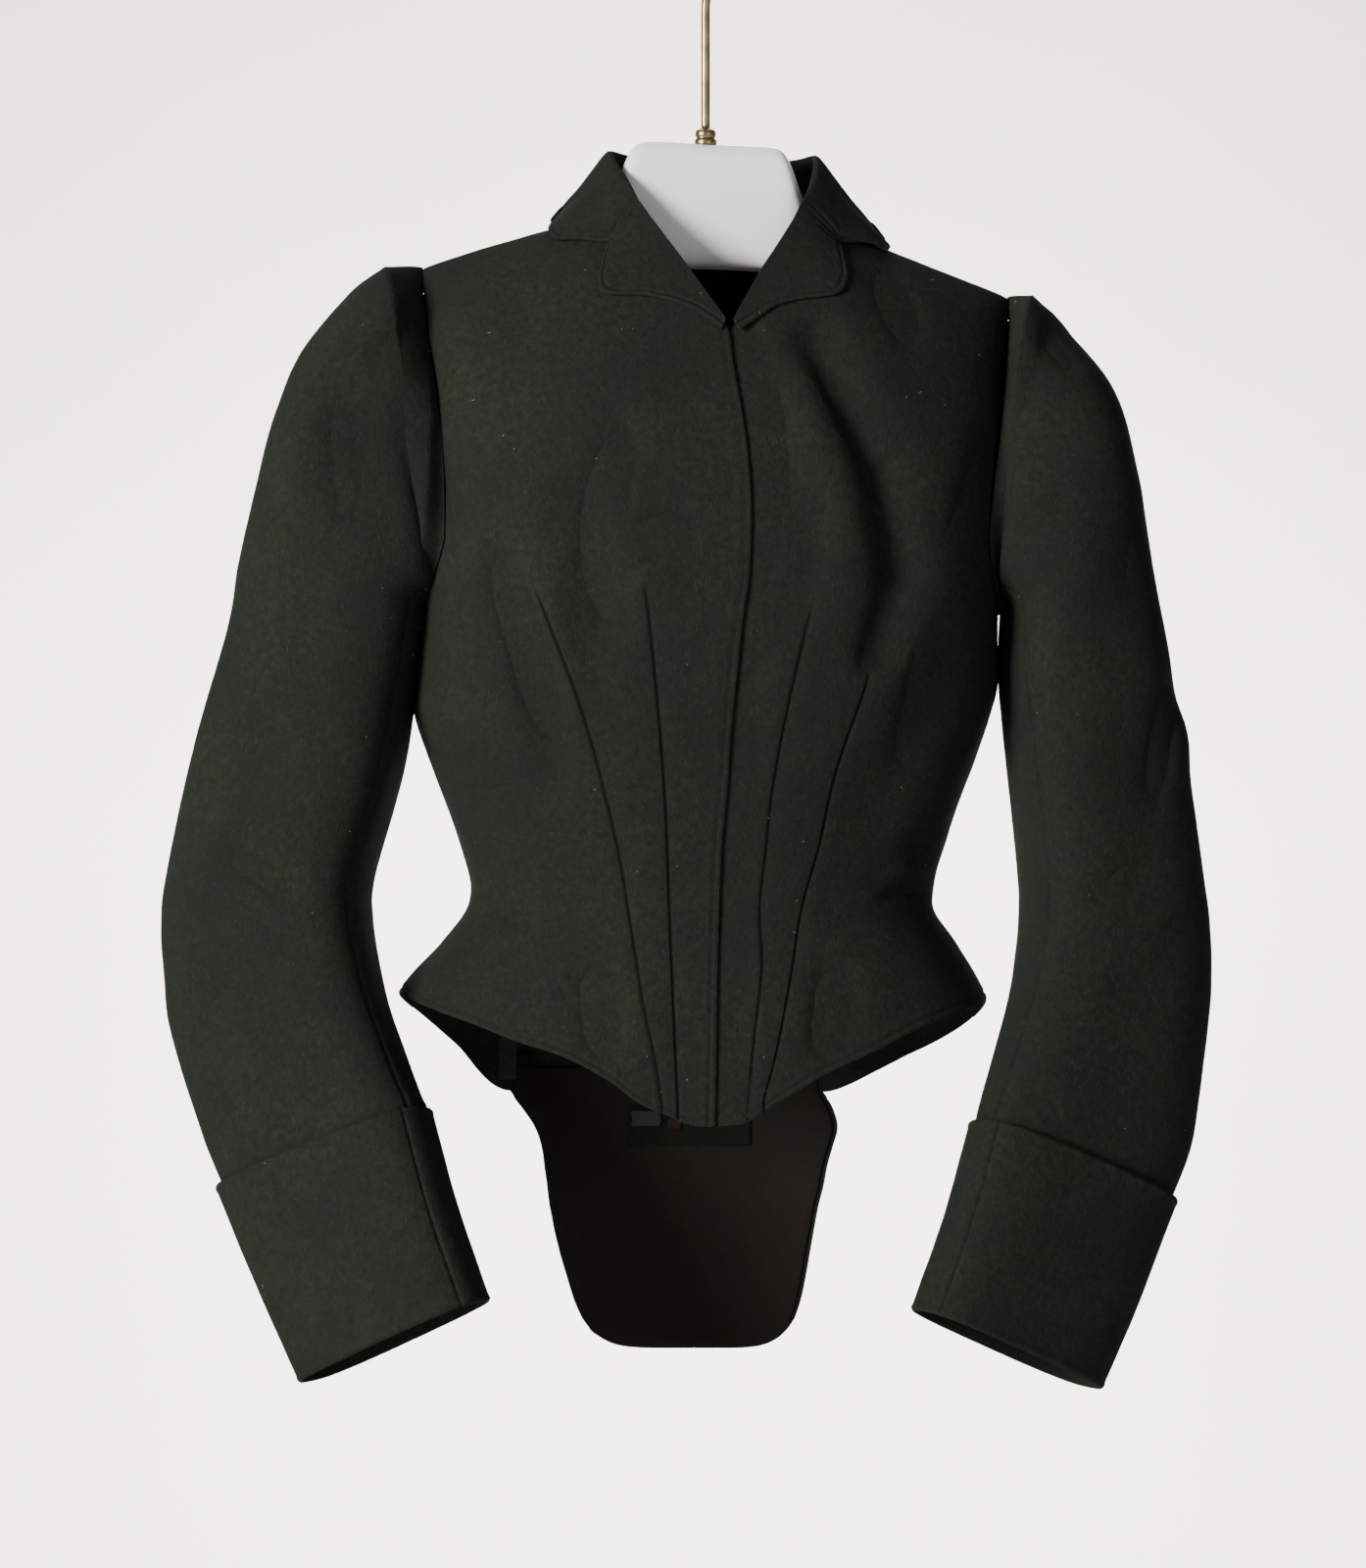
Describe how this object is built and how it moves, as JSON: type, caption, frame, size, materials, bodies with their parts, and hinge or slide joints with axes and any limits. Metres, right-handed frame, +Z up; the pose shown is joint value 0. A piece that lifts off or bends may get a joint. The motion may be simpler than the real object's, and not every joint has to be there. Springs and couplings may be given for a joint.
{
  "type": "riding habit jacket on a hanger",
  "caption": "Woman's fitted riding habit jacket of dark felted wool with notched lapels, long curved sleeves, deep cuffs and a tail, hanging on a moulded hanger with a brass hook.",
  "frame": {"origin": "inner crown of the hook, where a rail carries it", "axes": "+Z up, +X to the wearer's left, -Y to the front of the jacket"},
  "size_m": [0.5871, 0.2028, 0.8345],
  "materials": {
    "wool": "felted wool with a short matted nap, black green, matt",
    "lining": "plain cotton, brown black, matt",
    "band": "wool band, grey green, matt",
    "tape": "woven cotton tape, grey, matt",
    "hanger_plastic": "white moulded, satin",
    "brass": "worn brass"
  },
  "bodies": {
    "root": {"front_right": "wool", "front_left": "wool", "side_back_right": "wool", "side_back_left": "wool", "back_right": "wool", "back_left": "wool", "collar": "wool", "lapel_right": "wool", "lapel_left": "wool", "top_sleeve_right": "wool", "under_sleeve_right": "wool", "top_sleeve_left": "wool", "under_sleeve_left": "wool", "cuff_right": "wool", "cuff_left": "wool", "tail_lining": "lining", "tail_band": "band", "seam_tape": "tape", "hanger_body": "hanger_plastic", "hanger_ferrule": "brass", "hanger_hook": "brass"}
  },
  "joints": []
}
